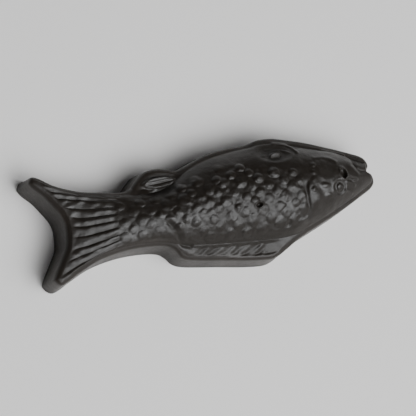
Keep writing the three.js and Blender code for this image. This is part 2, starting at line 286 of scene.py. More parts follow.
@dataclass(frozen=True)
class Outline:
    """Edge of the face as four curves, and the net of points that they carry."""

    back: Knots = (
        (-24.4, -6.9), (-23.9, -7.4), (-23.1, -7.15), (-21.2, -6.2), (-18.2, -4.95), (-14.4, -4.2),
        (-10.6, -4.1), (-7.9, -4.5), (-6.6, -5.4), (-5.8, -6.35), (-4.3, -6.85), (0, -7.5), (3.5, -8.05),
        (6.2, -8.33), (7.5, -8.15), (8.75, -7.5), (10.6, -6.4), (12.6, -5.52), (15.2, -4.5), (17.8, -3.4),
        (20.4, -2.2), (22.45, -1.2),
    )
    belly: Knots = (
        (-25.2, 6.4), (-24.9, 6.85), (-24.2, 6.55), (-22.2, 5.2), (-19, 3.95), (-16, 3.35), (-13.2, 2.95),
        (-11.5, 3.2), (-10.3, 4.25), (-9.1, 5.15), (-7.5, 5.4), (-5.9, 5.15), (-4.6, 4.75), (-3.3, 5.05),
        (-1.8, 5.6), (0.5, 6.3), (3.3, 6.65), (6, 6.7), (7.8, 7.15), (9.8, 7.12), (11.9, 6.62),
        (14.5, 5.88), (16.7, 5.05), (19.1, 4.13), (21.5, 3.15),
    )
    tail: Knots = (
        (-24.4, -6.9), (-23.6, -5.7), (-22.6, -4.2), (-21.85, -3.0), (-21.45, -1.4), (-21.35, 0.3),
        (-21.7, 1.7), (-22.5, 3.1), (-23.6, 4.7), (-24.6, 5.75), (-25.2, 6.4),
    )
    snout: Knots = (
        (22.45, -1.2), (23.05, -0.6), (23.0, 0.25), (22.4, 0.95), (22.7, 1.75), (22.4, 2.6), (21.5, 3.15),
    )
    length_steps: int = 440
    width_steps: int = 180
    curve_steps: int = 2000
    crowding: float = 0.35

    def length_share(self) -> Array:
        """Shares of the way from tail to snout at each step, with shorter steps near the snout."""
        u = np.arange(self.length_steps + 1) / self.length_steps
        return u * (1.0 + self.crowding - self.crowding * u)

    def width_share(self) -> Array:
        """Shares of the way from back to belly at each step."""
        return np.arange(self.width_steps + 1) / self.width_steps

    @staticmethod
    def _spline(line: Knots, t: Array) -> Array:
        """Points on a smooth curve through a line's points.

        Args:
            line: Points that the curve passes.
            t: Places on the curve, from 0 to 1, with equal shares for each stretch.

        Returns:
            One row of x and y for each place.
        """
        p = np.asarray(line, dtype=float)
        last = len(p) - 1
        f = np.clip(t, 0.0, 1.0) * last
        i = np.minimum(f.astype(int), last - 1)
        w = (f - i)[:, None]
        p0, p1, p2, p3 = p[np.maximum(i - 1, 0)], p[i], p[i + 1], p[np.minimum(i + 2, last)]
        v0, v1 = (p2 - p0) * 0.5, (p3 - p1) * 0.5
        cubic = (2.0 * (p1 - p2) + v0 + v1) * w**3
        return cubic + (3.0 * (p2 - p1) - 2.0 * v0 - v1) * w**2 + v0 * w + p1

    def _points_on(self, line: Knots, shares: Array) -> Array:
        """Points on a curve at shares of its length.

        Args:
            line: Points that the curve passes.
            shares: Shares of the length, from 0 to 1.

        Returns:
            One row of x and y for each share.
        """
        t = np.linspace(0.0, 1.0, self.curve_steps + 1)
        steps = np.hypot(*np.diff(self._spline(line, t), axis=0).T)
        length = np.concatenate([[0.0], np.cumsum(steps)])
        return self._spline(line, np.interp(shares * length[-1], length, t))

    def net(self) -> tuple[Array, Array, Array]:
        """The net's points, first index from tail to snout and second from back to belly.

        Returns:
            Places along the fish, places across it, and distances from the edge.
        """
        s, t = self.length_share(), self.width_share()
        back, belly = self._points_on(self.back, s), self._points_on(self.belly, s)
        tail, snout = self._points_on(self.tail, t), self._points_on(self.snout, t)
        sc, tc = s[:, None, None], t[None, :, None]
        ends = (1 - sc) * ((1 - tc) * tail[0] + tc * tail[-1]) + sc * ((1 - tc) * snout[0] + tc * snout[-1])
        net = (1 - tc) * back[:, None] + tc * belly[:, None] + (1 - sc) * tail + sc * snout - ends
        width = np.hypot(*(belly - back).T)[:, None]
        length = np.hypot(*(snout - tail).T)[None, :]
        edge = np.minimum(np.minimum(t, 1 - t)[None, :] * width, np.minimum(s, 1 - s)[:, None] * length)
        return net[..., 0], net[..., 1], edge


@dataclass(frozen=True)
class Flank:
    """The smooth form of the face: a domed flank, the lower, sloping back fin and a rolled edge."""

    wall_height: float = 5.4
    crown_rise: float = 3.5
    dome_power: float = 0.85
    shoulder: float = 0.45
    fin_drop: float = 0.8
    fin_width: float = 1.7
    fin_start: Span = (-9.0, -5.5)
    fin_end: Span = (8.0, 12.0)
    ledge_slope: float = 0.25
    ledge_width: float = 0.8
    roll_width: float = 0.5
    roll_deg: float = 25.0
    back_y: Knots = (
        (-26, -8), (-18.2, -4.95), (-14.4, -4.2), (-10.6, -4.1), (-7.6, -4.6), (-5.4, -5.2), (-4, -5.4),
        (0, -5.8), (4, -6.1), (7.5, -6.25), (10.2, -6.15), (12.6, -5.4), (15.2, -4.45), (17.8, -3.35),
        (20.4, -2.15), (23, -0.7),
    )
    belly_y: Knots = (
        (-26, 6.6), (-22.5, 5.25), (-19, 3.95), (-16, 3.35), (-13, 2.8), (-10, 2.5), (-7.5, 2.75),
        (-5.2, 3.7), (-3, 4.95), (0, 5.95), (3.3, 6.4), (7.5, 6.8), (9.8, 6.7), (12.3, 5.98), (15.3, 5.08),
        (18.2, 4.2), (21, 2.8), (23.5, 1.7),
    )
    crown_share: Knots = (
        (-26, 0), (-20, 0.06), (-15, 0.3), (-10, 0.55), (-4, 0.83), (4, 1), (11, 1), (16, 0.86),
        (20, 0.57), (23.5, 0.2),
    )

    def height(self, x: Array, y: Array, edge: Array) -> Array:
        """Height of the smooth form.

        Args:
            x: Places along the fish.
            y: Places across it.
            edge: Distances from the edge of the face.

        Returns:
            Heights over the flat back.
        """
        back, belly = along(self.back_y, x), along(self.belly_y, x)
        across = (2.0 * y - back - belly) / (belly - back)
        rise = np.maximum(0.0, 1.0 - across**2) ** self.dome_power * self.crown_rise
        shoulder = 1.0 - (1.0 - np.clip(edge / self.shoulder, 0.0, 1.0)) ** 2
        span = smooth(*self.fin_start, x) * (1.0 - smooth(*self.fin_end, x))
        fin = span * np.clip((back - y) / self.fin_width, 0.0, 1.0)
        fall = 0.5 * self.roll_width * math.tan(math.radians(self.roll_deg))
        roll = fall * (1.0 - np.clip(edge / self.roll_width, 0.0, 1.0)) ** 2
        dome = rise * along(self.crown_share, x) * shoulder
        ledge = self.ledge_slope * np.clip(y - belly, 0.0, self.ledge_width)
        return self.wall_height + dome - roll - ledge - self.fin_drop * fin

    def across(self, x: Array, y: Array) -> Array:
        """Shares of the way from the flank's back line to its belly line."""
        back = along(self.back_y, x)
        return np.clip((y - back) / (along(self.belly_y, x) - back), 0.0, 1.0)


@dataclass(frozen=True)
class TailRays:
    """Fin rays that fan out over the tail and stop short of its hem."""

    grooves: Sequence[float] = (-0.05, 0.045, 0.135, 0.235, 0.375, 0.51, 0.635, 0.76, 0.885, 0.96, 1.03)
    depth: float = 0.19
    lean: float = 1.6
    roundness: float = 0.6
    sink: float = 0.55
    root_x: Knots = ((-5, -14.6), (-2, -14.9), (0, -14.8), (1.5, -14.2), (3.5, -13.2))
    root_fade: Span = (-0.7, 0.4)
    hem_fade: Span = (0.35, 1.1)
    faint_share: float = 0.45
    faint_place: float = 0.09
    faint_width: float = 0.12
    wander: Mottle = Mottle(0.02, (2.1, 3.5), 4.0)
    uneven: Mottle = Mottle(0.35, (1.75, 0.7), 5.0)
    lumps: Mottle = Mottle(0.085, (1.0, 0.6), 12.0)
    lump_start: Span = (0.2, 0.8)
    lump_end: Span = (-15.5, -14.0)

    def height(self, x: Array, y: Array, outline: Outline, flank: Flank) -> Array:
        """Height of the rays and of the tail's low lumps.

        Args:
            x: Places along the fish.
            y: Places across it.
            outline: Gives the line of the tail's end.
            flank: Gives the way across the tail.

        Returns:
            Heights over the smooth form.
        """
        from_end = x - along([(py, px) for px, py in outline.tail], y)
        across = flank.across(x, y) + self.wander.height(x, y)
        phase = along([(groove, k) for k, groove in enumerate(self.grooves)], across)
        share = phase - np.floor(phase)
        ray = np.abs(np.sin(math.pi * share**self.lean)) ** self.roundness - self.sink
        ray *= 1.0 - self.faint_share * bell(across - self.faint_place, self.faint_width)
        ray *= 1.0 + self.uneven.height(x, y)
        root = 1.0 - smooth(*self.root_fade, x - along(self.root_x, y))
        lumps = self.lumps.height(x, y) * smooth(*self.lump_start, from_end)
        lumps *= 1.0 - smooth(*self.lump_end, x)
        return self.depth * smooth(*self.hem_fade, from_end) * root * ray + lumps


@dataclass(frozen=True)
class ScaleCoat:
    """Pebbly scales in staggered rows, each one lifted towards the tail and a little uneven."""

    length: float = 2.41
    row: float = 1.1
    start: tuple[float, float] = (0.58, -0.47)
    skew: tuple[float, float] = (0.06, 0.033)
    half_length: float = 0.86
    half_width: float = 0.74
    lift: float = 0.15
    sink: float = 0.3
    tilt: float = 0.1
    shifts: Span = (-0.3, 0.3)
    sizes: Span = (0.82, 1.18)
    heights: Span = (0.7, 1.3)
    turns: Span = (-0.45, 0.45)
    belly_lift: float = 1.0
    belly_rise: Span = (0.5, 2.5)
    tail_fade: float = 0.1
    tail_reach: Span = (-12.0, -5.0)
    coarse: Mottle = Mottle(0.05, (0.56, 0.56), 6.0)
    fine: Mottle = Mottle(0.038, (0.42, 0.42), 7.0)
    fine_turn: tuple[float, float] = (0.8, 0.6)
    pebble_fade: float = 0.5
    pebble_reach: Span = (-11.0, -5.0)
    tail_end: Span = (-14.7, -14.1)
    gill_end: Span = (11.6, 12.1)
    belly_y: Knots = ((-14, 2.1), (-7, 2.9), (-2, 3.7), (3, 4.2), (6, 3.1), (8.5, 2.6), (13, 2.3))
    belly_edge: Span = (-0.3, 0.4)
    back_y: Knots = ((-14, -3.5), (-8, -3.6), (-4, -4.9), (4, -5.3), (8, -5.3), (13, -4.0))
    back_edge: Span = (-0.2, 0.3)

    def inside(self, x: Array, y: Array) -> Array:
        """How far a point belongs to the scaled flank.

        Args:
            x: Places along the fish.
            y: Places across it.

        Returns:
            Shares from 0 outside it to 1 inside.
        """
        ends = smooth(*self.tail_end, x) * (1.0 - smooth(*self.gill_end, x))
        belly = smooth(*self.belly_edge, along(self.belly_y, x) - y)
        return ends * belly * smooth(*self.back_edge, y - along(self.back_y, x))

    def height(self, x: Array, y: Array) -> Array:
        """Height of the scales and of the pebbly skin on and between them.

        Args:
            x: Places along the fish.
            y: Places across it.

        Returns:
            Heights over the smooth form.
        """
        u = (x - self.skew[0] * y - self.start[0]) / self.length
        v = (y - self.skew[1] * x - self.start[1]) / self.row
        row = np.round(v)
        top = np.zeros_like(x)
        for j in (row - 1, row, row + 1):
            column = np.round(u - self._stagger(j))
            for i in (column - 1, column, column + 1):
                top = np.maximum(top, self._scale(x, y, i, j))
        c, s = self.fine_turn
        pebble = self.coarse.height(x, y) + self.fine.height(c * x + s * y, c * y - s * x)
        pebble *= 1.0 - self.pebble_fade * (1.0 - smooth(*self.pebble_reach, x))
        return self.lift * top + (pebble - self.sink * self.lift) * self.inside(x, y)

    @staticmethod
    def _stagger(j: Array) -> Array:
        """Half a scale for every second row, and nothing for the others."""
        return np.where(j % 2 == 0, 0.0, 0.5)

    def _scale(self, x: Array, y: Array, i: Array, j: Array) -> Array:
        """Height of one scale of the lattice, in shares of the lift.

        Args:
            x: Places along the fish.
            y: Places across it.
            i: The scale's number in its row, for each place.
            j: The number of its row, for each place.

        Returns:
            Heights, 0 outside the scale.
        """
        along_row = (i + self._stagger(j)) * self.length + self.start[0]
        over_rows = j * self.row + self.start[1]
        # Each use of chance has its own offsets, so that no two of a scale's draws go together.
        cx = along_row + self.skew[0] * over_rows + between(self.shifts, chance(i, j))
        cy = over_rows + self.skew[1] * along_row + between(self.shifts, chance(j, i + 7))
        size = between(self.sizes, chance(i + 3, j + 5))
        high = between(self.heights, chance(i + 9, j)) * self.inside(cx, cy)
        turn = between(self.turns, chance(i + 2, j + 11))
        high *= 1.0 + self.belly_lift * smooth(*self.belly_rise, cy)
        high *= 1.0 - self.tail_fade * (1.0 - smooth(*self.tail_reach, cx))
        r = Oval(cx, cy, self.half_length * size, self.half_width * size, turn).place(x, y)[2]
        return np.maximum(0.0, 1.0 - r * r) * (1.0 + self.tilt * (cx - x)) * high


@dataclass(frozen=True)
class BackFin:
    """The long low fin on the back: a dished strip with slanted rays, and a ridge along its root."""

    root_x: float = -4.4
    root_fade: Span = (-1.2, 0.8)
    tip_x: float = 8.3
    tip_fade: Span = (-2.0, 0.5)
    ray_tip_x: float = 6.0
    ray_fade: Span = (-1.0, 0.5)
    ray_pitch: float = 1.9
    ray_slant: float = 1.6
    ray_height: float = 0.07
    wander: Mottle = Mottle(1.3, (2.3, 2.3), 8.0)
    uneven: Mottle = Mottle(0.5, (1.3, 1.3), 9.0)
    dish: float = 0.17
    dish_edge: Span = (0.1, 0.55)
    ridge: float = 0.06
    ridge_place: float = 0.05
    ridge_width: float = 0.22
    groove: float = 0.12
    groove_place: float = -0.55
    groove_width: float = 0.35

    def height(self, x: Array, y: Array, flank: Flank) -> Array:
        """Height of the strip, its rays, the ridge and the groove beside it on the flank.

        Args:
            x: Places along the fish.
            y: Places across it.
            flank: Gives the line that the fin starts from.

        Returns:
            Heights over the smooth form.
        """
        out = along(flank.back_y, x) - y
        wave = 2.0 * math.pi * (x + self.ray_slant * out) / self.ray_pitch + self.wander.height(x, y)
        rays = self.ray_height * np.sin(wave) * (1.0 - smooth(*self.ray_fade, x - self.ray_tip_x))
        rays *= 1.0 + self.uneven.height(x, y)
        strip = smooth(*self.dish_edge, out) * (rays - self.dish)
        ridge = self.ridge * bell(out - self.ridge_place, self.ridge_width)
        groove = self.groove * bell(out - self.groove_place, self.groove_width)
        span = smooth(*self.root_fade, x - self.root_x) * (1.0 - smooth(*self.tip_fade, x - self.tip_x))
        return span * (strip + ridge - groove)


@dataclass(frozen=True)
class SmallFins:
    """The three small fins: a dished one on the belly, a leaf by the vent and one behind the gills."""

    dish: Oval = Oval(8.9, 5.2, 3.1, 1.6, -0.12)
    dish_depth: float = 0.6
    dish_slope: Span = (0.35, 1.02)
    dish_tail_end: Span = (-1.2, -0.2)
    dish_slant: float = 0.2
    front: Ridge = Ridge(((9.8, 6.7), (10.6, 6.55), (11.4, 6.25), (12.0, 5.7), (12.4, 4.9)), 0.26, 0.32)
    rays: tuple[Union[Bump, Blade], ...] = (
        Bump(Oval(7.6, 4.95, 0.75, 0.3, 0.15), 0.2), Blade(Oval(9.1, 4.75, 1.0, 0.52, 0.1), 0.42, 0.5),
        Bump(Oval(10.9, 5.15, 0.8, 0.3, -0.5), 0.25), Bump(Oval(9.9, 5.55, 0.8, 0.26, -0.1), 0.12),
        Bump(Oval(8.5, 5.85, 0.8, 0.26, 0.05), 0.1),
    )
    leaf: Blade = Blade(Oval(-7.6, 3.8, 2.65, 0.85), 0.45, 0.2)
    leaf_hollow: Bump = Bump(Oval(-7.6, 2.5, 2.2, 0.6, 0.1), -0.25)
    veins: tuple[Vein, ...] = (Vein(-0.1, 0.15, 0.14, 0.1), Vein(0.45, 0.1, 0.1, 0.05))
    vein_fade: Span = (0.6, 0.95)
    side_fin: Bump = Bump(Oval(11.6, -4.6, 1.7, 0.6, 0.1), 0.17, 0.0)
    side_dimple: Bump = Bump(Oval(9.0, -4.7, 0.5, 0.6), -0.22)

    def height(self, x: Array, y: Array) -> Array:
        """Height of the three fins over the smooth form."""
        side = self.side_fin.height(x, y) + self.side_dimple.height(x, y)
        return self._belly(x, y) + self._vent(x, y) + side

    def _belly(self, x: Array, y: Array) -> Array:
        """Height of the dished fin with its raised front edge.

        Args:
            x: Places along the fish.
            y: Places across it.

        Returns:
            Heights over the smooth form.
        """
        u, v, r = self.dish.place(x, y)
        dish = (1.0 - smooth(*self.dish_slope, r)) * smooth(*self.dish_tail_end, u + self.dish_slant * v)
        rays = sum(ray.height(x, y) for ray in self.rays)
        return self.front.height(x, y) + rays - self.dish_depth * dish

    def _vent(self, x: Array, y: Array) -> Array:
        """Height of the leaf, which leans to the back, with veins along it.

        Args:
            x: Places along the fish.
            y: Places across it.

        Returns:
            Heights over the smooth form.
        """
        u, v, r = self.leaf.oval.place(x, y)
        veins = sum(vein.depth(u, v) for vein in self.veins) * (1.0 - smooth(*self.vein_fade, r))
        return self.leaf.height(x, y) - veins + self.leaf_hollow.height(x, y)


@dataclass(frozen=True)
class Head:
    """Gill cover, eye, cheek folds and mouth."""

    gill_x: Knots = ((-4.4, 12.7), (-2.6, 12.25), (-0.4, 12.15), (0.6, 12.5))
    gill_step: float = 0.17
    gill_edge: Span = (-0.3, 0.3)
    gill_reach: Span = (0.4, 2.2)
    gill_back: Span = (-4.7, -2.6)
    gill_belly: Span = (-0.6, 0.7)
    gill_groove: float = 0.14
    gill_groove_place: float = -0.15
    gill_groove_width: float = 0.3
    parts: tuple[Union[Bump, Ridge], ...] = (
        Bump(Oval(13.6, -2.1, 1.2, 1.5, 0.2), 0.24), Bump(Oval(13.05, -0.9, 0.55, 0.5), 0.2),
        Bump(Oval(13.3, 0.5, 0.7, 0.5, 0.4), 0.08), Bump(Oval(13.6, 1.5, 0.6, 0.5, 0.3), 0.1),
        Bump(Oval(13.9, 2.6, 0.6, 0.5, 0.2), 0.15), Bump(Oval(14.85, -0.55, 1.0, 0.55, -0.1), 0.15),
        Bump(Oval(15.4, -1.9, 0.9, 0.6, -0.2), 0.14), Bump(Oval(15.7, 1.6, 1.75, 1.5), -0.13, 0.1),
        Ridge(((14.5, 3.6), (15.7, 3.6), (16.9, 3.2), (17.5, 2.7)), 0.3, 0.12),
        Ridge(((18.4, 0.35), (19.2, 0.15), (20.1, -0.2)), 0.2, 0.22),
        Ridge(((18.5, -0.45), (19.1, -0.65), (19.7, -1.0)), 0.2, 0.18),
        Ridge(((18.2, -1.5), (18.9, -1.65), (19.3, -1.9)), 0.2, 0.12),
        Bump(Oval(19.6, -0.45, 0.3, 0.22), 0.12),
    )
    eye_x: float = 17.2
    eye_y: float = -1.0
    pupil: float = 0.48
    pupil_height: float = 0.17
    socket: float = 0.72
    socket_depth: float = 0.13
    socket_width: float = 0.24
    ring: float = 1.1
    ring_height: float = 0.08
    ring_width: float = 0.26
    mouth: Ridge = Ridge(
        ((23.3, 0.75), (22.15, 0.55), (21.0, 0.78), (20.55, 1.3), (20.4, 1.9)), 0.36, -0.28
    )
    lip_y: Knots = ((20.1, 3.2), (20.55, 1.3), (21.0, 0.78), (22.15, 0.55), (23.3, 0.75))
    jaw_step: float = 0.3
    jaw_start: Span = (19.75, 20.15)
    jaw_edge: Span = (0.0, 0.35)
    uneven: Mottle = Mottle(0.035, (0.85, 0.85), 13.0)
    uneven_start: Span = (11.5, 12.8)

    def height(self, x: Array, y: Array) -> Array:
        """Height of the head's relief.

        Args:
            x: Places along the fish.
            y: Places across it.

        Returns:
            Heights over the smooth form.
        """
        parts = sum(part.height(x, y) for part in self.parts)
        uneven = self.uneven.height(x, y) * smooth(*self.uneven_start, x)
        return self._gills(x, y) + self._eye(x, y) + self._mouth(x, y) + parts + uneven

    def _gills(self, x: Array, y: Array) -> Array:
        """Height of the gill cover, stepped up from the flank behind it.

        Args:
            x: Places along the fish.
            y: Places across it.

        Returns:
            Heights over the smooth form.
        """
        from_edge = x - along(self.gill_x, y)
        span = smooth(*self.gill_back, y) * (1.0 - smooth(*self.gill_belly, y))
        cover = smooth(*self.gill_edge, from_edge) * (1.0 - smooth(*self.gill_reach, from_edge))
        groove = self.gill_groove * bell(from_edge - self.gill_groove_place, self.gill_groove_width)
        return span * (self.gill_step * cover - groove)

    def _eye(self, x: Array, y: Array) -> Array:
        """Height of the domed pupil in its socket and ring.

        Args:
            x: Places along the fish.
            y: Places across it.

        Returns:
            Heights over the smooth form.
        """
        r = np.hypot(x - self.eye_x, y - self.eye_y)
        pupil = self.pupil_height * np.sqrt(np.maximum(0.0, 1.0 - (r / self.pupil) ** 2))
        socket = self.socket_depth * bell(r - self.socket, self.socket_width)
        return pupil + self.ring_height * bell(r - self.ring, self.ring_width) - socket

    def _mouth(self, x: Array, y: Array) -> Array:
        """Height of the mouth's cleft and of the lower jaw, which both lie under the smooth form."""
        jaw = smooth(*self.jaw_start, x) * smooth(*self.jaw_edge, y - along(self.lip_y, x))
        return self.mouth.height(x, y) - self.jaw_step * jaw


@dataclass(frozen=True)
class CastMarks:
    """What casting left: two burst bubbles, a crease and a slightly uneven skin."""

    bubble: Pit = Pit(Oval(18.1, 0.8, 0.45, 0.72, 0.12), 0.5)
    pinhole: Pit = Pit(Oval(4.8, -1.8, 0.46, 0.32, 0.2), 0.42)
    crease: Ridge = Ridge(((-8.0, -2.1), (-7.2, -3.0), (-6.6, -4.2), (-6.0, -5.0), (-4.9, -5.4)), 0.34, -0.3)
    grains: tuple[Mottle, ...] = (
        Mottle(0.03, (1.7, 1.7), 1.0), Mottle(0.016, (0.6, 0.6), 2.0), Mottle(0.008, (0.3, 0.3), 3.0),
    )

    def bubbles(self, x: Array, y: Array) -> Array:
        """Height of the burst bubbles' rims less the depth of their hollows."""
        return self.bubble.height(x, y) + self.pinhole.height(x, y)

    def skin(self, x: Array, y: Array) -> Array:
        """Height of the uneven skin less the depth of the crease."""
        return self.crease.height(x, y) + sum(grain.height(x, y) for grain in self.grains)


class Mark(Enum):
    """Point attributes of the cast that its finish reads."""

    CREST = "crest"
    THIN = "thin"


@dataclass
class FishCast:
    """The whole sweet as one closed mesh: relief face, round edge, sloped wall and flat back."""

    outline: Outline = field(default_factory=Outline)
    flank: Flank = field(default_factory=Flank)
    tail_rays: TailRays = field(default_factory=TailRays)
    scales: ScaleCoat = field(default_factory=ScaleCoat)
    back_fin: BackFin = field(default_factory=BackFin)
    small_fins: SmallFins = field(default_factory=SmallFins)
    head: Head = field(default_factory=Head)
    marks: CastMarks = field(default_factory=CastMarks)
    relief_margin: float = 0.5
    edge_width: float = 0.45
    edge_steps: int = 6
    wall_draft: float = 0.05
    wall_steps: tuple[float, ...] = (1.45, 1.75, 1.9, 2.0, 2.4, 3.0)
    flare: float = 0.07
    flare_height: float = 0.7
    flare_power: float = 1.5
    foot_radius: float = 0.15
    ring_reach: float = 0.9
    thin_reach: float = 0.8

    def relief(self, x: Array, y: Array) -> Array:
        """Height of all that is moulded into the face.

        Args:
            x: Places along the fish.
            y: Places across it.

        Returns:
            Heights over the smooth form.
        """
        fins = self.back_fin.height(x, y, self.flank) + self.small_fins.height(x, y)
        rays = self.tail_rays.height(x, y, self.outline, self.flank)
        coat = self.scales.height(x, y)
        return rays + coat + fins + self.head.height(x, y) + self.marks.skin(x, y)

    def build(self, name: str) -> bpy.types.Object:
        """Make the mesh and its object.

        Args:
            name: Name of the object and its mesh.

        Returns:
            The object, at the origin, with its place in its mesh.
        """
        x, y, edge = self.outline.net()
        relief = self.relief(x, y) * smooth(0.0, self.relief_margin, edge)
        z = self.flank.height(x, y, edge) + relief + self.marks.bubbles(x, y)
        net = np.stack([x, y, z], axis=-1)

        cast = bmesh.new()
        columns, rows = self.outline.length_steps, self.outline.width_steps
        bmesh.ops.create_grid(cast, x_segments=columns, y_segments=rows, size=0.5)
        layers = {mark: cast.verts.layers.float.new(mark.value) for mark in Mark}
        outward = cast.verts.layers.float_vector.new("outward")
        grid: dict[tuple[int, int], bmesh.types.BMVert] = {}
        for vert in cast.verts:
            i, j = round((vert.co.x + 0.5) * columns), round((vert.co.y + 0.5) * rows)
            grid[i, j] = vert
            vert.co = net[i, j]
            vert[layers[Mark.CREST]] = relief[i, j]
            # The thin mark makes the gloss duller near the edge and steers the finish's painted
            # through-light tint.
            vert[layers[Mark.THIN]] = math.exp(-edge[i, j] / self.thin_reach)
        self._set_outward(self._ring(grid), outward)
        self._add_wall(cast, outward)
        bmesh.ops.recalc_face_normals(cast, faces=cast.faces)
        self._to_place(cast)

        mesh = bpy.data.meshes.new(name)
        cast.to_mesh(mesh)
        cast.free()
        mesh.attributes.remove(mesh.attributes["outward"])
        piece = bpy.data.objects.new(name, mesh)
        bpy.context.scene.collection.objects.link(piece)
        return piece

    def _ring(self, grid: dict[tuple[int, int], bmesh.types.BMVert]) -> list[bmesh.types.BMVert]:
        """Vertices of the face's edge in order.

        Args:
            grid: Vertex at each place of the net.

        Returns:
            The vertices counter-clockwise from above, each once.
        """
        columns, rows = self.outline.length_steps, self.outline.width_steps
        places = [(i, 0) for i in range(columns)] + [(columns, j) for j in range(rows)]
        places += [(i, rows) for i in range(columns, 0, -1)] + [(0, j) for j in range(rows, 0, -1)]
        return [grid[place] for place in places]

    def _set_outward(self, ring: list[bmesh.types.BMVert], layer: Any) -> None:
        """Give each vertex of a ring its way out, smoothed over a short stretch of the ring.

        Args:
            ring: Vertices in order, counter-clockwise from above.
            layer: Vertex layer that takes the directions.
        """
        places = np.array([vert.co[:2] for vert in ring])
        steps = np.hypot(*(np.roll(places, -1, axis=0) - places).T)
        length = np.concatenate([[0.0], np.cumsum(steps)])
        closed = np.vstack([places, places[:1]])

        def at(distance: Array) -> Array:
            """Points on the ring at distances along it."""
            wrapped = np.mod(distance, length[-1])
            return np.stack([np.interp(wrapped, length, closed[:, axis]) for axis in (0, 1)], axis=-1)

        tangent = at(length[:-1] + self.ring_reach) - at(length[:-1] - self.ring_reach)
        for vert, (dx, dy) in zip(ring, tangent):
            vert[layer] = Vector((dy, -dx, 0.0)).normalized()

    def _add_wall(self, cast: bmesh.types.BMesh, layer: Any) -> None:
        """Take the face's edge round, down the wall and over the foot, and close the back.

        Args:
            cast: Mesh that holds the face.
            layer: Vertex layer that holds each edge vertex's way out.
        """
        origin = cast.verts.layers.float_vector.new("origin")
        loose = [edge for edge in cast.edges if edge.is_boundary]
        for vert in {vert for edge in loose for vert in edge.verts}:
            vert[origin] = vert.co
        for share in self._profile_shares():
            made = bmesh.ops.extrude_edge_only(cast, edges=loose)["geom"]
            verts = [item for item in made if isinstance(item, bmesh.types.BMVert)]
            loose = [item for item in made if isinstance(item, bmesh.types.BMEdge) and item.is_boundary]
            for vert in verts:
                start = vert[origin]
                out, drop = self._profile(share, start.z)
                vert.co = start + vert[layer] * out - Vector((0.0, 0.0, drop))
        bmesh.ops.triangle_fill(cast, use_beauty=True, edges=loose, normal=(0.0, 0.0, -1.0))
        cast.verts.layers.float_vector.remove(cast.verts.layers.float_vector["origin"])

    def _profile_shares(self) -> list[float]:
        """Places on the wall's profile: up to 1 on the round, up to 2 on the wall, up to 3 on the foot."""
        edge = [step / self.edge_steps for step in range(1, self.edge_steps + 1)]
        return edge + list(self.wall_steps)

    def _profile(self, share: float, height: float) -> tuple[float, float]:
        """A place on the wall's profile.

        Args:
            share: Place, from 0 at the edge to 3 on the flat back.
            height: Height of the face's edge here.

        Returns:
            How far out and how far down from the edge the place lies.
        """
        lean = math.radians(self.flank.roll_deg)
        radius = self.edge_width / (1.0 - math.sin(lean))
        edge_drop = radius * math.cos(lean)
        if share <= 1.0:
            angle = lean + (0.5 * math.pi - lean) * share
            return radius * (math.sin(angle) - math.sin(lean)), edge_drop - radius * math.cos(angle)
        foot = height - self.foot_radius
        drop = edge_drop + (foot - edge_drop) * min(share - 1.0, 1.0)
        flare = self.flare * max(0.0, 1.0 - (height - drop) / self.flare_height) ** self.flare_power
        out = self.edge_width + self.wall_draft * (drop - edge_drop) + flare
        if share > 2.0:
            angle = 0.5 * math.pi * (share - 2.0)
            out -= self.foot_radius * (1.0 - math.cos(angle))
            drop += self.foot_radius * math.sin(angle)
        return out, drop

    @staticmethod
    def _to_place(cast: bmesh.types.BMesh) -> None:
        """Bring the mesh to metres, with the middle of its outline where the frame's node has it.

        Args:
            cast: Mesh to move.
        """
        low, high = (Vector(corner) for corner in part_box(NODE))
        places = np.array([vert.co for vert in cast.verts])
        middle = 0.5 * (places.min(axis=0) + places.max(axis=0)) * MM
        bmesh.ops.scale(cast, vec=(MM, MM, MM), verts=cast.verts)
        shift = Vector(((low.x + high.x) / 2 - middle[0], (low.y + high.y) / 2 - middle[1], low.z))
        bmesh.ops.translate(cast, vec=shift, verts=cast.verts)


Value = Union["Signal", float]


class Signal:
    """A shader socket that Python's operators can work on."""

    def __init__(self, tree: bpy.types.NodeTree, socket: bpy.types.NodeSocket) -> None:
        """Keep the tree and the socket.

        Args:
            tree: Nodes that the socket is part of.
            socket: Output that carries the value.
        """
        self.tree = tree
        self.socket = socket

    def _math(self, operation: str, first: Value, second: Value) -> "Signal":
        """Add a Math node.

        Args:
            operation: The node's operation.
            first: Its first value or signal.
            second: Its second value or signal.

        Returns:
            Its result.
        """
        node = self.tree.nodes.new("ShaderNodeMath")
        node.operation = operation
        for socket, value in zip(node.inputs, (first, second)):
            if isinstance(value, Signal):
                self.tree.links.new(value.socket, socket)
            else:
                socket.default_value = value
        return Signal(self.tree, node.outputs[0])

    def __add__(self, other: Value) -> "Signal":
        """Sum."""
        return self._math("ADD", self, other)

    __radd__ = __add__

    def __sub__(self, other: Value) -> "Signal":
        """Difference."""
        return self._math("SUBTRACT", self, other)

    def __rsub__(self, other: Value) -> "Signal":
        """Difference with this one taken away."""
        return self._math("SUBTRACT", other, self)

    def __mul__(self, other: Value) -> "Signal":
        """Product."""
        return self._math("MULTIPLY", self, other)

    __rmul__ = __mul__

    def clamped(self, low: float = 0.0, high: float = 1.0) -> "Signal":
        """This value, held between low and high."""
        return self._math("MINIMUM", self._math("MAXIMUM", self, low), high)

    def rise(self, low: float, high: float) -> "Signal":
        """Rise from 0 at low to 1 at high."""
        return ((self - low) * (1.0 / (high - low))).clamped()


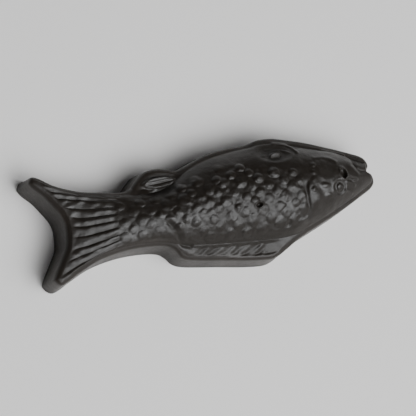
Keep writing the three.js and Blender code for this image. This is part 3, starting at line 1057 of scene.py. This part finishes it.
class Shader:
    """One material and the nodes in it."""

    def __init__(self, name: str) -> None:
        """Make a material with a Principled BSDF and its output alone.

        Args:
            name: The material's name.
        """
        self.material = bpy.data.materials.new(name)
        self.material.use_nodes = True
        self.tree = self.material.node_tree
        self.tree.nodes.clear()
        self.surface = self.tree.nodes.new("ShaderNodeBsdfPrincipled")
        output = self.tree.nodes.new("ShaderNodeOutputMaterial")
        self.tree.links.new(self.surface.outputs["BSDF"], output.inputs["Surface"])

    def node(self, kind: str, settings: dict[str, Any], inputs: dict[Any, Any], out: Any = 0) -> Signal:
        """Add a node.

        Args:
            kind: The node's type.
            settings: Its properties, set first.
            inputs: Values or signals for its sockets, by name or index.
            out: Name or index of the output to return.

        Returns:
            The chosen output.
        """
        node = self.tree.nodes.new(kind)
        for key, value in settings.items():
            setattr(node, key, value)
        for key, value in inputs.items():
            self._feed(node.inputs[key], value)
        return Signal(self.tree, node.outputs[out])

    def set(self, **values: Any) -> None:
        """Set sockets of the surface, by their names with spaces as underscores."""
        for key, value in values.items():
            self._feed(self.surface.inputs[key.replace("_", " ")], value)

    def _feed(self, socket: bpy.types.NodeSocket, value: Any) -> None:
        """Link a signal to a socket, or set a value on it.

        Args:
            socket: Input to feed.
            value: Signal or value for it.
        """
        if isinstance(value, Signal):
            self.tree.links.new(value.socket, socket)
        else:
            socket.default_value = value

    def places(self) -> Signal:
        """Object coordinates."""
        return self.node("ShaderNodeTexCoord", {}, {}, "Object")

    def attribute(self, name: str) -> Signal:
        """A point attribute of the piece."""
        return self.node("ShaderNodeAttribute", {"attribute_name": name}, {}, "Fac")

    def noise(self, scale: float, detail: float, roughness: float) -> Signal:
        """Noise on object coordinates, from 0 to 1.

        Args:
            scale: Cells for each metre.
            detail: Octaves.
            roughness: Share that each octave keeps of the one before.

        Returns:
            The noise.
        """
        sockets = {"Vector": self.places(), "Scale": scale, "Detail": detail, "Roughness": roughness}
        return self.node("ShaderNodeTexNoise", {}, sockets)

    def mix(self, factor: Value, first: Any, second: Any) -> Signal:
        """A colour between two colours."""
        settings = {"data_type": "RGBA", "clamp_factor": True}
        return self.node("ShaderNodeMix", settings, {0: factor, 6: first, 7: second}, 2)

    def bump(self, height: Signal, strength: float, distance: float) -> Signal:
        """Normals of a surface with fine relief.

        Args:
            height: The relief, from 0 to 1.
            strength: Share of the relief that shows.
            distance: Height of the relief, in metres.

        Returns:
            The normals.
        """
        inputs = {"Strength": strength, "Distance": distance, "Height": height}
        return self.node("ShaderNodeBump", {}, inputs, "Normal")


@dataclass(frozen=True)
class LicoriceFinish:
    """Near-black licorice under a thin oily gloss, duller in its hollows, with painted through-light: a
    brown tint where it is thin, standing in for light that shines through.

    The scales of its noises are cells for each metre, and its hollows and bumps are in millimetres.
    """

    black: Colour = (0.0108, 0.0076, 0.0048, 1.0)
    # Painted through-light colour, for edges thin enough that light would shine through them.
    painted_through_light: Colour = (0.03, 0.016, 0.008, 1.0)
    haze: Colour = (0.018, 0.015, 0.0115, 1.0)
    cloud_scale: float = 190.0
    grain_scale: float = 1500.0
    pore_scale: float = 4200.0
    full_hollow: float = 0.3
    hollow_haze: float = 0.3
    cloud_haze: float = 0.35
    haze_clouds: Span = (0.5, 0.75)
    # Strength and cloud span of the painted through-light tint near thin edges.
    through_light_share: float = 0.25
    through_light_clouds: Span = (0.3, 0.7)
    roughness: float = 0.45
    roughness_limits: Span = (0.2, 0.8)
    grain_dull: float = 0.22
    hollow_dull: float = 0.2
    thin_dull: float = 0.1
    coat: float = 0.08
    coat_limits: Span = (0.0, 0.6)
    cloud_coat: float = 0.6
    coat_roughness: float = 0.16
    refraction: float = 1.46
    grain_share: float = 0.7
    bump_strength: float = 0.35
    bump_height: float = 0.18

    def make(self) -> bpy.types.Material:
        """Build the material.

        Returns:
            The material.
        """
        shader = Shader("licorice")
        crest = shader.attribute(Mark.CREST.value)
        thin = shader.attribute(Mark.THIN.value)
        cloud = shader.noise(self.cloud_scale, detail=3.0, roughness=0.55)
        grain = shader.noise(self.grain_scale, detail=3.0, roughness=0.6)
        pores = shader.noise(self.pore_scale, detail=2.0, roughness=0.5)
        hollow = (0.0 - crest).rise(0.0, self.full_hollow)

        haze = (hollow * self.hollow_haze + cloud.rise(*self.haze_clouds) * self.cloud_haze).clamped()
        # Painted through-light: a brown tint near thin edges stands in for light shining through the
        # licorice.
        painted_through_light = (thin * self.through_light_share * cloud.rise(*self.through_light_clouds)).clamped()
        shader.set(Base_Color=shader.mix(painted_through_light, shader.mix(haze, self.black, self.haze), self.painted_through_light))
        dull = self.grain_dull * (grain - 0.5) + self.hollow_dull * hollow + self.thin_dull * thin
        shader.set(Roughness=(self.roughness + dull).clamped(*self.roughness_limits))
        gloss = self.coat + self.cloud_coat * (cloud - 0.5)
        shader.set(Coat_Weight=gloss.clamped(*self.coat_limits))
        shader.set(Coat_Roughness=self.coat_roughness, IOR=self.refraction)
        relief = grain * self.grain_share + pores * (1.0 - self.grain_share)
        shader.set(Normal=shader.bump(relief, self.bump_strength, self.bump_height * MM))
        return shader.material


@dataclass(frozen=True)
class StudioFinish:
    """Plain pale paint for the floor."""

    light: Colour = (0.91, 0.885, 0.86, 1.0)
    dark: Colour = (0.86, 0.835, 0.81, 1.0)
    dark_share: float = 0.15
    cloud_scale: float = 6.0
    roughness: float = 0.75

    def make(self) -> bpy.types.Material:
        """Build the material.

        Returns:
            The material.
        """
        shader = Shader("studio_floor")
        cloud = shader.noise(self.cloud_scale, detail=2.0, roughness=0.5)
        shade = shader.mix(cloud * self.dark_share, self.light, self.dark)
        shader.set(Base_Color=shade, Roughness=self.roughness)
        return shader.material


@dataclass(frozen=True)
class SoftBox:
    """A rectangular lamp that looks at the fish."""

    name: str
    towards: tuple[float, float, float]
    distance: float
    size: tuple[float, float]
    watts: float
    colour: tuple[float, float, float] = (1.0, 1.0, 1.0)

    def make(self, target: Vector) -> None:
        """Hang the lamp.

        Args:
            target: Point that it looks at.
        """
        lamp = bpy.data.lights.new(self.name, "AREA")
        lamp.shape = "RECTANGLE"
        lamp.size, lamp.size_y = self.size
        lamp.energy = self.watts
        lamp.color = self.colour
        away = Vector(self.towards).normalized()
        holder = bpy.data.objects.new(self.name, lamp)
        holder.location = target + away * self.distance
        holder.rotation_euler = away.to_track_quat("Z", "Y").to_euler()
        bpy.context.scene.collection.objects.link(holder)


@dataclass(frozen=True)
class Studio:
    """A pale floor, soft lamps and an even surround."""

    floor_size: float = 3.0
    surround: float = 0.05
    lamps: tuple[SoftBox, ...] = (
        SoftBox("key", (0.3, -0.47, 0.83), 0.7, (0.9, 0.62), 7.2, (0.95, 0.975, 1.0)),
        SoftBox("core", (0.33, -0.5, 0.8), 0.68, (0.36, 0.3), 1.6, (0.95, 0.975, 1.0)),
        SoftBox("fill", (0.2, -0.85, 0.5), 0.9, (0.6, 0.3), 0.1),
        SoftBox("belly_rim", (0.15, 0.98, 0.08), 0.9, (1.2, 0.1), 0.5),
        SoftBox("snout_rim", (0.97, 0.2, 0.1), 0.9, (0.9, 0.12), 0.25),
    )

    def build(self, target: Vector) -> None:
        """Lay the floor, hang the lamps and set the surround.

        Args:
            target: Point that the lamps look at.
        """
        self._floor()
        for lamp in self.lamps:
            lamp.make(target)
        world = bpy.data.worlds.new("surround")
        world.use_nodes = True
        background = world.node_tree.nodes["Background"]
        background.inputs["Color"].default_value = (1.0, 1.0, 1.0, 1.0)
        background.inputs["Strength"].default_value = self.surround
        bpy.context.scene.world = world

    def _floor(self) -> None:
        """Lay the floor under the fish."""
        plane = bmesh.new()
        bmesh.ops.create_grid(plane, x_segments=1, y_segments=1, size=self.floor_size / 2)
        mesh = bpy.data.meshes.new("studio_floor")
        plane.to_mesh(mesh)
        plane.free()
        mesh.materials.append(StudioFinish().make())
        floor = bpy.data.objects.new("studio_floor", mesh)
        bpy.context.scene.collection.objects.link(floor)


@dataclass(frozen=True)
class PhotoCamera:
    """The camera of the photograph: nearly overhead, leaning towards the tail and the back."""

    tilt_deg: float = 22.0
    lean_towards_deg: float = 200.8
    roll_deg: float = 9.0
    distance: float = 0.6
    frame_width: float = 0.0565
    sensor: float = 36.0

    def place(self, target: Vector) -> None:
        """Set the scene's camera.

        Args:
            target: Point in the middle of the view.
        """
        tilt, lean, roll = (math.radians(v) for v in (self.tilt_deg, self.lean_towards_deg, self.roll_deg))
        away = Vector((math.cos(lean) * math.sin(tilt), math.sin(lean) * math.sin(tilt), math.cos(tilt)))
        level = Vector((1.0, 0.0, 0.0)) - away * away.x
        level.normalize()
        upright = away.cross(level)
        right = level * math.cos(roll) - upright * math.sin(roll)
        up = level * math.sin(roll) + upright * math.cos(roll)
        lens = bpy.data.cameras.new("camera")
        lens.sensor_width = self.sensor
        lens.lens = self.sensor * self.distance / self.frame_width
        holder = bpy.data.objects.new("camera", lens)
        turn = Matrix((right, up, away)).transposed().to_4x4()
        holder.matrix_world = Matrix.Translation(target + away * self.distance) @ turn
        bpy.context.scene.collection.objects.link(holder)
        bpy.context.scene.camera = holder


def main() -> None:
    """Load the frame and build the fish and its studio around it."""
    logging.basicConfig(level=logging.INFO, format="%(name)s: %(message)s")
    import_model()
    low, high = (Vector(corner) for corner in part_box(NODE))
    middle = (low + high) / 2

    fish = FishCast().build("fish_cast")
    fish.data.materials.append(LicoriceFinish().make())
    fish.data.shade_smooth()
    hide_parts(NODE)
    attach(fish, "root")
    LOG.info("fish_cast has %d faces", len(fish.data.polygons))

    Studio().build(middle)
    PhotoCamera().place(middle)
    LOG.info("the studio and camera are set")


if __name__ == "__main__":
    main()
